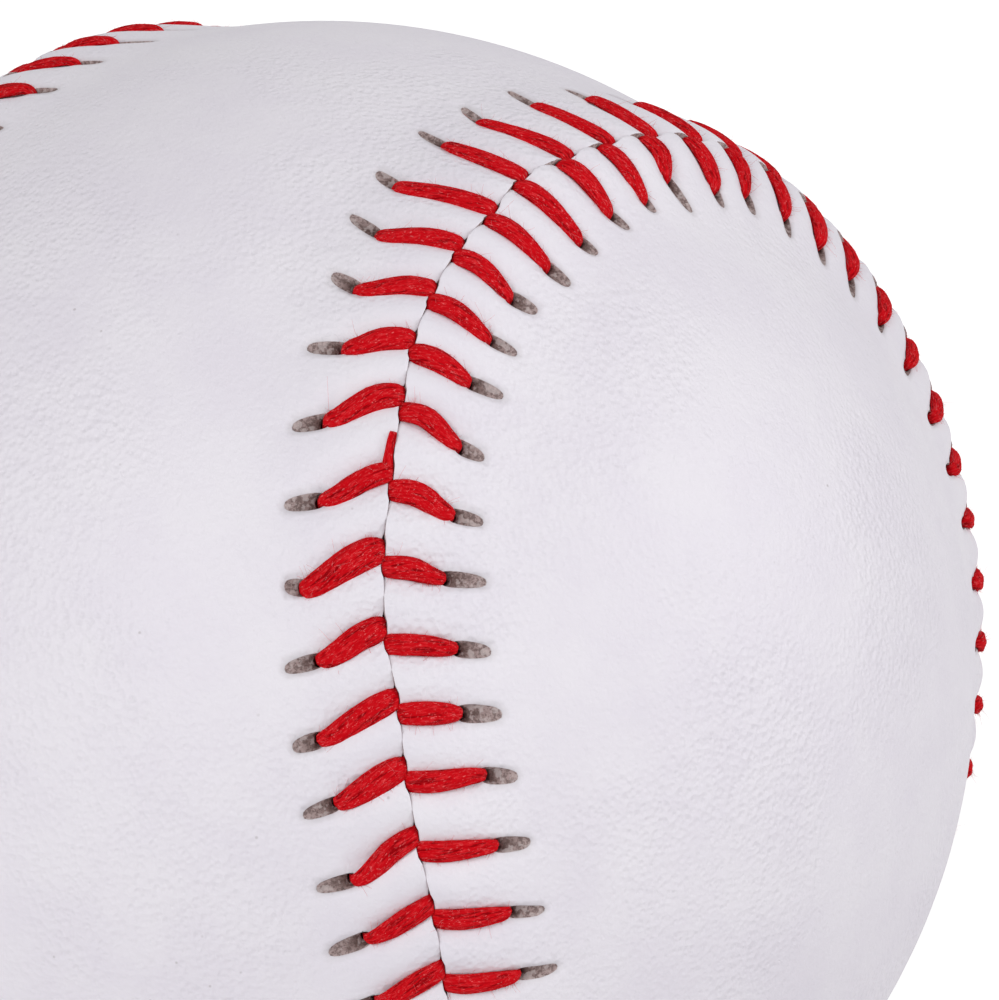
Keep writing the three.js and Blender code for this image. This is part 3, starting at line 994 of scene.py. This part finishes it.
def thread_skin(route, seed):
    """Ring corners along a thread, and the same corners in the thread's own measures."""
    points, widths, thicknesses, wide, thick, length = route
    draw = np.random.default_rng(seed)
    angle = np.arange(thread_sides) * 2 * np.pi / thread_sides
    turned = angle[None, :] + length[:, None] * ply_twist
    ridge = 0.91 + 0.14 * np.abs(np.cos(ply_count / 2 * turned)) + draw.normal(0, 0.012, turned.shape)
    outward = np.sum(thick * unit(points), axis=1)[:, None]
    flatter = 1 + flat_underneath * np.minimum(np.sin(angle) * outward, 0.0)
    x = widths[:, None] / 2 * np.cos(angle) * ridge
    y = thicknesses[:, None] / 2 * np.sin(angle) * ridge * flatter
    corners = points[:, None] + wide[:, None] * x[..., None] + thick[:, None] * y[..., None]
    radius = (widths[:, None] + thicknesses[:, None]) / 4
    own = radius * np.cos(turned), radius * np.sin(turned), length[:, None]
    return corners, np.stack(np.broadcast_arrays(*own), axis=-1)


# %% Tubes from rows of rings
def mark(layer, rings, values):
    """Writes the thread's own measures, in millimetres, on rings of vertices."""
    for ring, row in zip(rings, values):
        for vert, value in zip(ring, row):
            vert[layer] = value / mm


def grow_tubes(rows, own_rows=None):
    """A bmesh of tubes, extruded row by row. A row holds the corners of a ring of every tube, and
    the last tube ends where a row is one ring shorter. own_rows are the threads' own measures."""
    bm = bmesh.new()
    if own_rows is not None:
        strand = bm.verts.layers.float_vector.new("strand")
    for number, corners in enumerate(rows):
        if number == 0:
            rings = start_rings(bm, corners)
        else:
            rings = extrude_rings(bm, rings[: len(corners)], corners)
        if own_rows is not None:
            mark(strand, rings, own_rows[number])
    return bm


# %% Sewing one thread
def sew_thread(name, route, seed):
    corners, own = thread_skin(route, seed)
    starts = np.arange(stitch_count) * rows_per_arm
    last_dive = (len(over_the_leather) + 1) * smooth_steps
    places = [(starts if row <= last_dive else starts[:-1]) + row for row in range(rows_per_arm + 1)]
    bm = grow_tubes([corners[place] for place in places], [own[place] for place in places])
    return closed_piece(name, bm)


# %% Sew both threads
routes = [thread_route(LEFT), thread_route(RIGHT)]
threads = [
    sew_thread("red_thread_first", routes[0], 11),
    sew_thread("red_thread_second", routes[1], 12),
]
for thread, node in zip(threads, ("stitch_thread_first", "stitch_thread_second")):
    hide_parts(node)

# %% [markdown]
# ## Red cotton
#
# Up close the thread is a bundle of fibres that run nearly along it. The mesh carries its own
# measures, two across the bundle and one along it, and stretched noise on those gives streaks
# that follow each bend. Dark lines of painted shade lie between the finer yarns, lighter fibres
# carry some painted highlight, and waxed cotton hardly shines.

# %% Thread finish
def red_cotton():
    cotton = Finish("red_cotton", Roughness=0.9, Specular_IOR_Level=0.05)
    yarns = cotton.noise(cotton.strand(0.1), 7.0)
    fibres = cotton.noise(cotton.strand(0.2), 12.0, detail=3.0, roughness=0.65)
    lint = cotton.noise(cotton.strand(0.4), 12.0, detail=3.0, roughness=0.7)
    # Painted shade: dark lines between the yarns.
    colour = cotton.mix(yarns.rises(0.34, 0.47), srgb(148, 0, 8), srgb(204, 8, 21))
    # Lighter fibres, partly a painted highlight.
    colour = cotton.mix(fibres.rises(0.48, 0.7) * 0.75, colour, srgb(232, 54, 60))
    colour = cotton.mix(lint.rises(0.58, 0.7) * 0.65, colour, srgb(242, 130, 130))
    cotton.set("Base Color", colour)
    cotton.bump(yarns + fibres * 0.6, 0.14 * mm)
    return cotton.material


cotton = red_cotton()
for thread in threads:
    thread.data.materials.append(cotton)
print("threads are finished in", cotton.name)

# %% [markdown]
# ## Loose fibres
#
# Cotton is spun from short fibres, and the needle and the leather pull some of them out. They
# are a fiftieth of a millimetre thick, and yet they soften the edge of every stitch. Each one is
# a ring of three vertices, extruded three times along a small bent path that starts on the
# thread's skin. The thickest stitch in the picture has the most.

# %% Where the fibres lie
fibres_per_arm = 84
fibre_radius = 0.009 * mm
fibre_steps = 3


def fibre_paths(route, first_side, seed):
    points, widths, thicknesses, wide, *_ = route
    draw = np.random.default_rng(seed)
    counts = np.full(stitch_count, fibres_per_arm)
    if first_side == LEFT:
        counts[100] *= 2
    k = np.repeat(np.arange(stitch_count), counts)
    row = k * rows_per_arm + draw.integers(3 * smooth_steps, 10 * smooth_steps, len(k))
    out = unit(points[row])
    ahead = unit(points[row + 1] - points[row - 1])
    level = unit(wide[row] - out * np.sum(wide[row] * out, axis=1, keepdims=True))
    angle = np.pi * draw.beta(0.7, 0.7, len(k))[:, None]
    start = points[row] + level * np.cos(angle) * widths[row][:, None] * 0.47
    start = start + out * np.sin(angle) * thicknesses[row][:, None] * 0.45
    reach = np.clip(draw.exponential(0.1, len(k)) + 0.08, 0.08, 0.5)[:, None] * mm
    way = level * np.cos(angle) + out * (np.sin(angle) * 0.6 + 0.1)
    way = unit(way + ahead * draw.normal(0.0, 1.2, len(k))[:, None])
    bend = draw.normal(0.0, 0.7, (len(k), 3))
    shares = np.linspace(0.0, 1.0, fibre_steps + 1)[:, None, None]
    return start + way * reach * shares + bend * reach * shares**2, way, out


def fibre_rings(paths, way, out):
    """Three corners round every point of every path, thinner towards its tip."""
    first = unit(np.cross(way, out + 0.3 * way))
    second = np.cross(way, first)
    radius = fibre_radius * np.linspace(1.0, 0.5, len(paths))[:, None, None]
    turns = 2 * np.pi / 3 * np.arange(3)
    corners = [paths + (first * np.cos(t) + second * np.sin(t)) * radius for t in turns]
    return np.stack(corners, axis=2)


# %% Pull the fibres out
fluff = Finish("cotton_fluff", Roughness=0.9, Specular_IOR_Level=0.1)
fluff_tone = fluff.noise(fluff.place(), 900.0)
fluff.set("Base Color", fluff.mix(fluff_tone.rises(0.4, 0.6), srgb(205, 40, 50), srgb(228, 120, 124)))
for route, side, name in zip(routes, (LEFT, RIGHT), ("fibres_of_first", "fibres_of_second")):
    rings = fibre_rings(*fibre_paths(route, side, 70 + side))
    fibres = closed_piece(name, grow_tubes(rings), merge=1e-9)
    fibres.data.materials.append(fluff.material)

# %% [markdown]
# ## A slack end
#
# At one stitch a strand of the thread has worked loose and lies up along the seam. It is a short
# piece of the same skin, drawn through six stations.

# %% The slack strand
slack_stations = np.array([
    # stitch, then mm to the right, over the seam, wide and thick
    (101.08, -0.10, -0.50, 0.50, 0.28),
    (101.15, -0.14, 0.05, 0.60, 0.36),
    (101.27, -0.15, 0.22, 0.48, 0.34),
    (101.38, -0.12, 0.35, 0.44, 0.32),
    (101.49, -0.07, 0.46, 0.44, 0.30),
    (101.56, -0.04, 0.50, 0.38, 0.22),
])


def slack_strand():
    stitch, right, height, width, thickness = slack_stations.T * [[1.0], [mm], [mm], [mm], [mm]]
    up = spot(stitch, right)[0]
    points = smoothed(up * (leather_radius + seam_rise + height)[:, None])
    wide = np.cross(np.gradient(points, axis=0), points)
    route = route_of(points, smoothed(width), smoothed(thickness), wide)
    corners, own = thread_skin(route, 23)
    return closed_piece("slack_strand", grow_tubes(corners[:, None], own[:, None]))


slack = slack_strand()
slack.data.materials.append(cotton)

# %% [markdown]
# ## The yarn inside
#
# Under the cover lie hundreds of metres of yarn, wound by machine in great circles that keep
# changing direction. The measured model has one smooth layer for each winding. Here each becomes
# a shell with yarn laid round it: closed loops with random axes, the later ones a little higher.

# %% Winding one layer
loop_steps = 60


def wind_yarn(name, outer, yarn, loops, sides):
    draw = np.random.default_rng(loops)
    axis = unit(draw.normal(size=(loops, 3)))
    first = unit(np.cross(axis, draw.normal(size=(loops, 3))))
    second = np.cross(axis, first)
    height = outer - yarn * (0.5 + 0.4 * (1 - np.arange(loops) / loops))
    lead, beat = draw.normal(0.0, 0.04, loops), draw.uniform(0.0, 2 * np.pi, loops)
    turn = 2 * np.pi * np.arange(loop_steps + 1)[:, None, None] / loop_steps
    off = lead[:, None] + 0.01 * np.sin(3 * turn + beat[:, None])
    way = unit(first * np.cos(turn) + second * np.sin(turn) + axis * off)[:, :, None]
    around = 2 * np.pi * np.arange(sides) / sides
    out, across = yarn / 2 * np.cos(around)[:, None], yarn / 2 * np.sin(around)[:, None]
    corners = way * height[:, None, None] + way * out + axis[:, None] * across
    twisted = around + turn * 12
    length = turn * outer + np.arange(loops)[:, None] * 5 * mm
    own = yarn / 2 * np.cos(twisted), yarn / 2 * np.sin(twisted), length
    bm = grow_tubes(corners, np.stack(np.broadcast_arrays(*own), axis=-1))
    bmesh.ops.create_icosphere(bm, subdivisions=5, radius=outer - 1.1 * yarn)
    return closed_piece(name, bm)


# %% Wool and cotton finishes
def yarn_finish(name, dark, light):
    wool = Finish(name, Roughness=0.95, Specular_IOR_Level=0.2)
    fibres = wool.noise(wool.strand(0.1), 6.0, detail=4.0, roughness=0.6)
    clumps = wool.noise(wool.place(), 260.0)
    colour = wool.mix(fibres.rises(0.35, 0.65), dark, light)
    wool.set("Base Color", wool.mix(clumps * 0.3, colour, dark))
    wool.bump(fibres, 0.2 * mm)
    return wool.material


grey_wool = yarn_finish("grey_wool_yarn", srgb(112, 112, 108), srgb(172, 171, 166))
white_wool = yarn_finish("white_wool_yarn", srgb(206, 200, 186), srgb(238, 234, 222))
cotton_yarn = yarn_finish("white_cotton_yarn", srgb(222, 217, 206), srgb(248, 245, 238))

# %% Wind the four layers
windings = [
    # name, node, slot, finish, outer radius, yarn, loops, sides
    ("first_wool_yarn", "first_wool_winding", "grey_wool", grey_wool, 30.85, 1.25, 150, 6),
    ("second_wool_yarn", "second_wool_winding", "white_wool", white_wool, 32.6, 0.95, 190, 6),
    ("third_wool_yarn", "third_wool_winding", "grey_wool", grey_wool, 34.45, 0.95, 200, 6),
    ("cotton_top_yarn", "finishing_winding", "cotton_yarn", cotton_yarn, 35.05, 0.22, 370, 4),
]
for name, node, slot, finish, outer, yarn, loops, sides in windings:
    wound = wind_yarn(name, outer * mm, yarn * mm, loops, sides)
    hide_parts(node)
    wound.data.materials.append(finish)

# %% [markdown]
# ## The pill
#
# The pill at the centre is a ball of composition cork between two half shells of black rubber,
# sealed by a red washer and moulded into a jacket of red rubber. Its shapes are the measured
# model's own, and only the finishes are made here.

# %% Cork and rubber finishes
def composition_cork():
    cork = Finish("composition_cork", Roughness=0.95)
    point = cork.place()
    granules = cork.cells(point, 620.0, output="Color")
    gaps = cork.cells(point, 620.0, feature="DISTANCE_TO_EDGE")
    colour = cork.mix(granules, srgb(158, 112, 66), srgb(205, 164, 112))
    flecks = cork.noise(point, 1500.0, detail=3.0).rises(0.62, 0.7)
    colour = cork.mix(flecks * 0.7, colour, srgb(88, 54, 32))
    cork.set("Base Color", cork.mix(gaps.rises(0.0, 0.06), srgb(110, 74, 44), colour))
    cork.bump(gaps.rises(0.0, 0.1), 0.12 * mm)
    return cork.material


def moulded_rubber(name, dark, light, roughness):
    rubber = Finish(name, Roughness=roughness)
    point = rubber.place()
    bloom = rubber.noise(point, 140.0, detail=4.0)
    rubber.set("Base Color", rubber.mix(bloom.rises(0.35, 0.7), dark, light))
    rubber.set("Roughness", roughness + 0.15 * bloom)
    rubber.bump(rubber.noise(point, 2400.0), 0.03 * mm)
    return rubber.material


black_rubber = moulded_rubber("moulded_black_rubber", srgb(26, 25, 25), srgb(44, 43, 42), 0.62)
red_rubber = moulded_rubber("moulded_red_rubber", srgb(138, 34, 28), srgb(172, 54, 44), 0.55)
pill_finishes = {
    "cork_core": composition_cork(),
    "black_rubber_shell_lower": black_rubber,
    "black_rubber_shell_upper": black_rubber,
    "red_rubber_gasket": red_rubber,
    "red_rubber_jacket": red_rubber,
}
for node, finish in pill_finishes.items():
    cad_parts[node].material_slots[0].material = finish
print("pill finishes:", sorted({finish.name for finish in pill_finishes.values()}))
